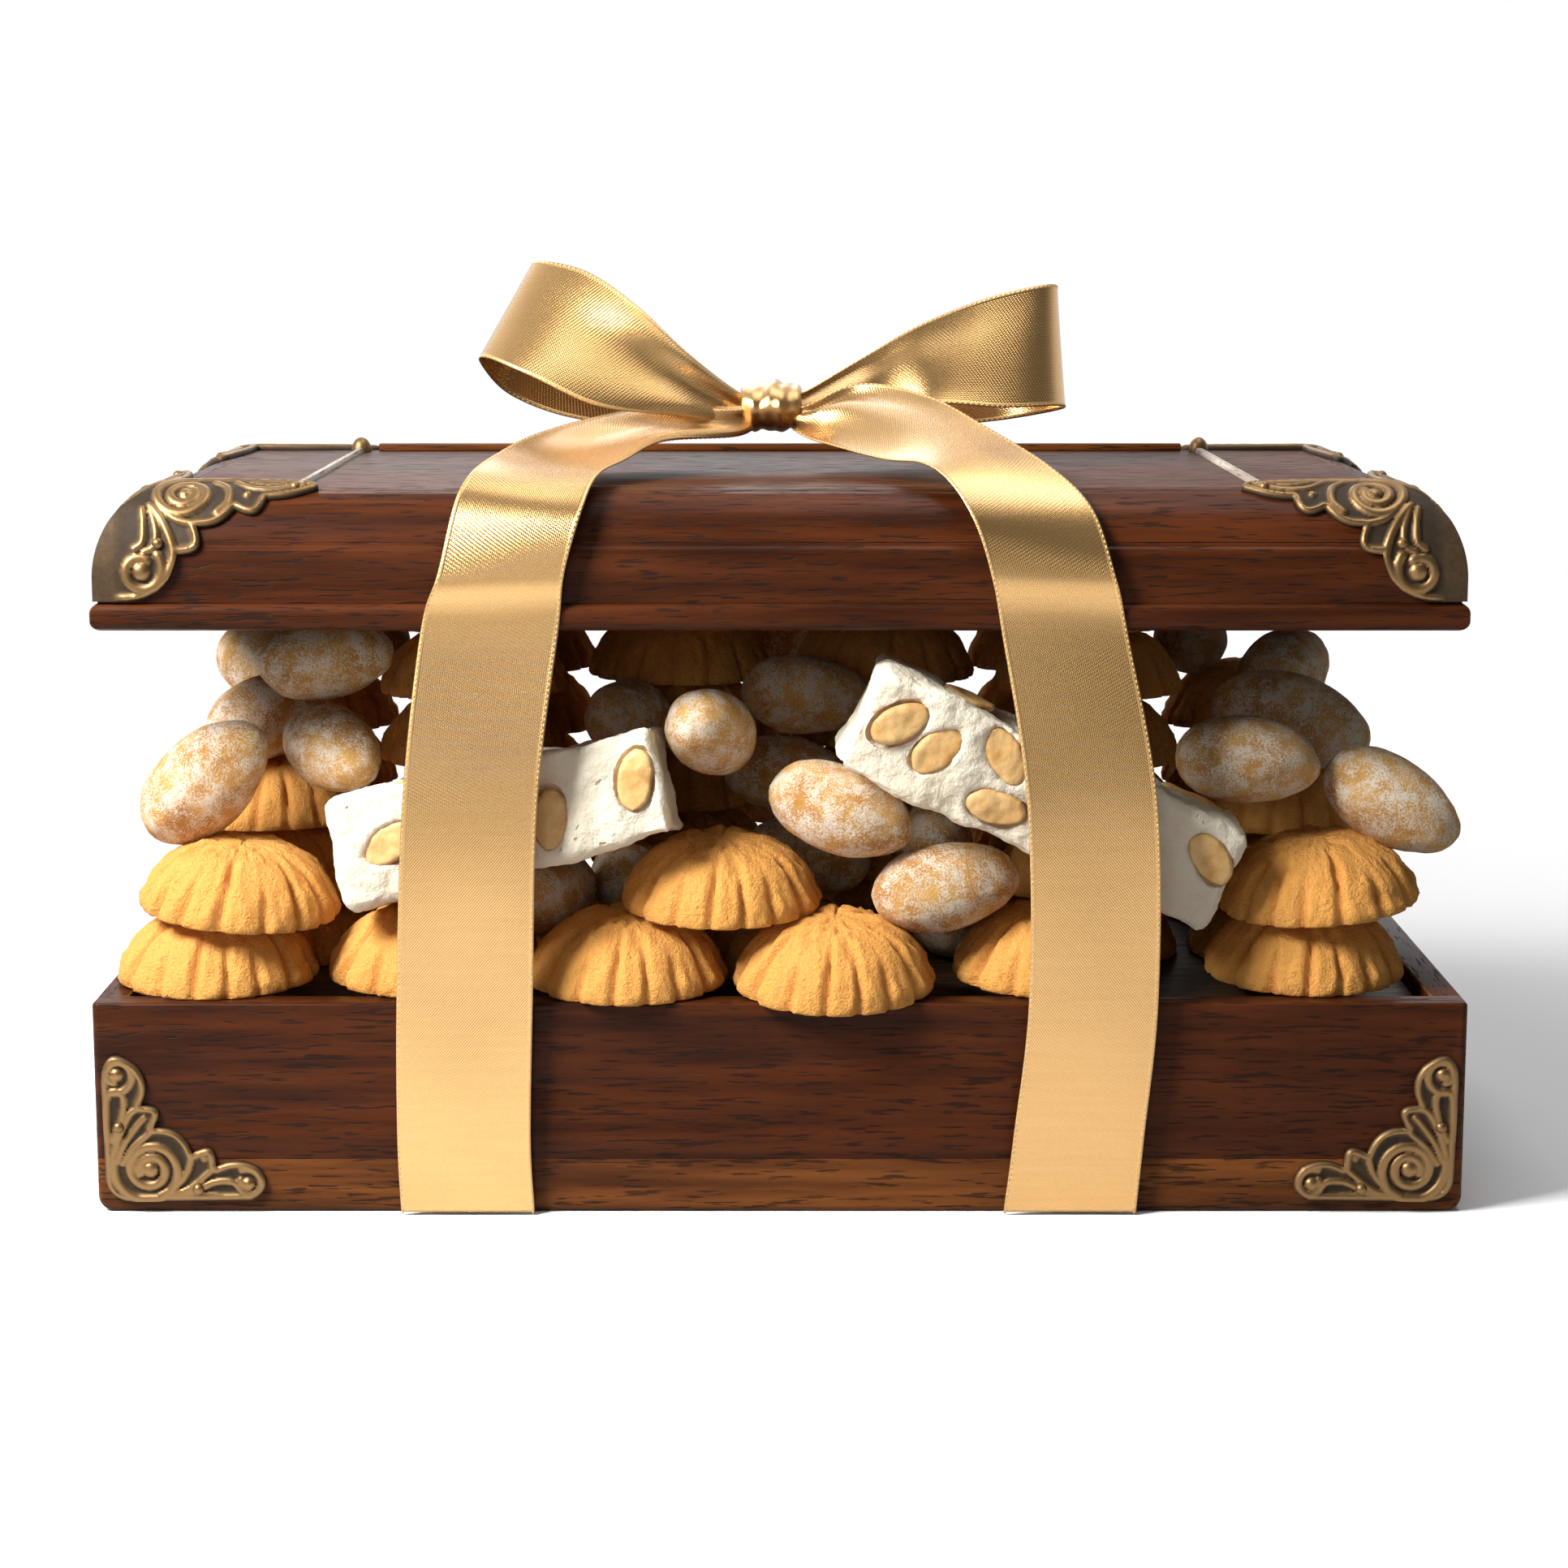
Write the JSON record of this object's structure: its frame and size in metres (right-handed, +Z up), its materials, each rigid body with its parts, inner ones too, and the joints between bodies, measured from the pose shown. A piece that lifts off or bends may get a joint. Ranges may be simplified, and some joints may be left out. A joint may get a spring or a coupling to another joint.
{
  "type": "sweet trunk",
  "caption": "Shallow walnut tray heaped with fluted cookies, dusted dates and nougat bars under a lift-off domed lid with scroll corners, tied over with a satin ribbon bow.",
  "frame": {"origin": "middle of the flat underside of the tray's bottom board", "axes": "+X to the right along the trunk's length, +Y to the back, +Z up"},
  "size_m": [0.3029, 0.1594, 0.2059],
  "materials": {
    "walnut": "satin, rubbed edges",
    "board": "raw",
    "brass": "antique, stamped",
    "ribbon": "satin weave",
    "cookie": "baked, sandy",
    "date": "sugar dusted",
    "nougat": "dusted, chalky",
    "nut": "cut"
  },
  "bodies": {
    "tray": {"base_back_wall": "walnut", "base_board": "walnut", "base_corner_left": "brass", "base_corner_pins": "brass", "base_corner_right": "brass", "base_front_wall": "walnut", "base_left_wall": "walnut", "base_right_wall": "walnut", "cookie_front_1": "cookie", "cookie_front_2": "cookie", "cookie_front_3": "cookie", "cookie_front_4": "cookie", "cookie_front_5": "cookie", "cookie_front_6": "cookie", "cookie_middle": "cookie", "cookie_stack_back_left": "cookie", "cookie_stack_back_right": "cookie", "cookie_stack_left": "cookie", "cookie_stack_left_end": "cookie", "cookie_stack_right": "cookie", "cookie_stack_right_end": "cookie", "cookie_stacks_inner": "cookie", "cookie_upper_1": "cookie", "cookie_upper_2": "cookie", "cookie_upper_3": "cookie", "cookies_back_row": "cookie", "dates_inside": "date", "dates_left": "date", "dates_middle": "date", "dates_right": "date", "floor_cleat_back": "board", "floor_cleat_front": "board", "nougat_left": "nougat", "nougat_nuts": "nut", "nougat_right": "nougat", "raised_floor": "board"},
    "lid": {"bow_knot": "ribbon", "bow_left_loop": "ribbon", "bow_right_loop": "ribbon", "lid_back_lip": "walnut", "lid_bead_left": "walnut", "lid_bead_right": "walnut", "lid_corner_back_left": "brass", "lid_corner_back_right": "brass", "lid_corner_front_left": "brass", "lid_corner_front_right": "brass", "lid_corner_pins": "brass", "lid_moulding_back": "walnut", "lid_moulding_front": "walnut", "lid_moulding_left": "walnut", "lid_moulding_right": "walnut", "lid_rim_back": "walnut", "lid_rim_front": "walnut", "lid_rim_left": "walnut", "lid_rim_right": "walnut", "lid_studs": "brass", "lid_top_panel": "walnut", "ribbon_left_tail": "ribbon", "ribbon_right_tail": "ribbon"}
  },
  "joints": [
    {"name": "lid_lift", "type": "slide", "parent": "tray", "child": "lid", "axis": [0, 0, 1], "range_m": [0, 0.12]}
  ]
}
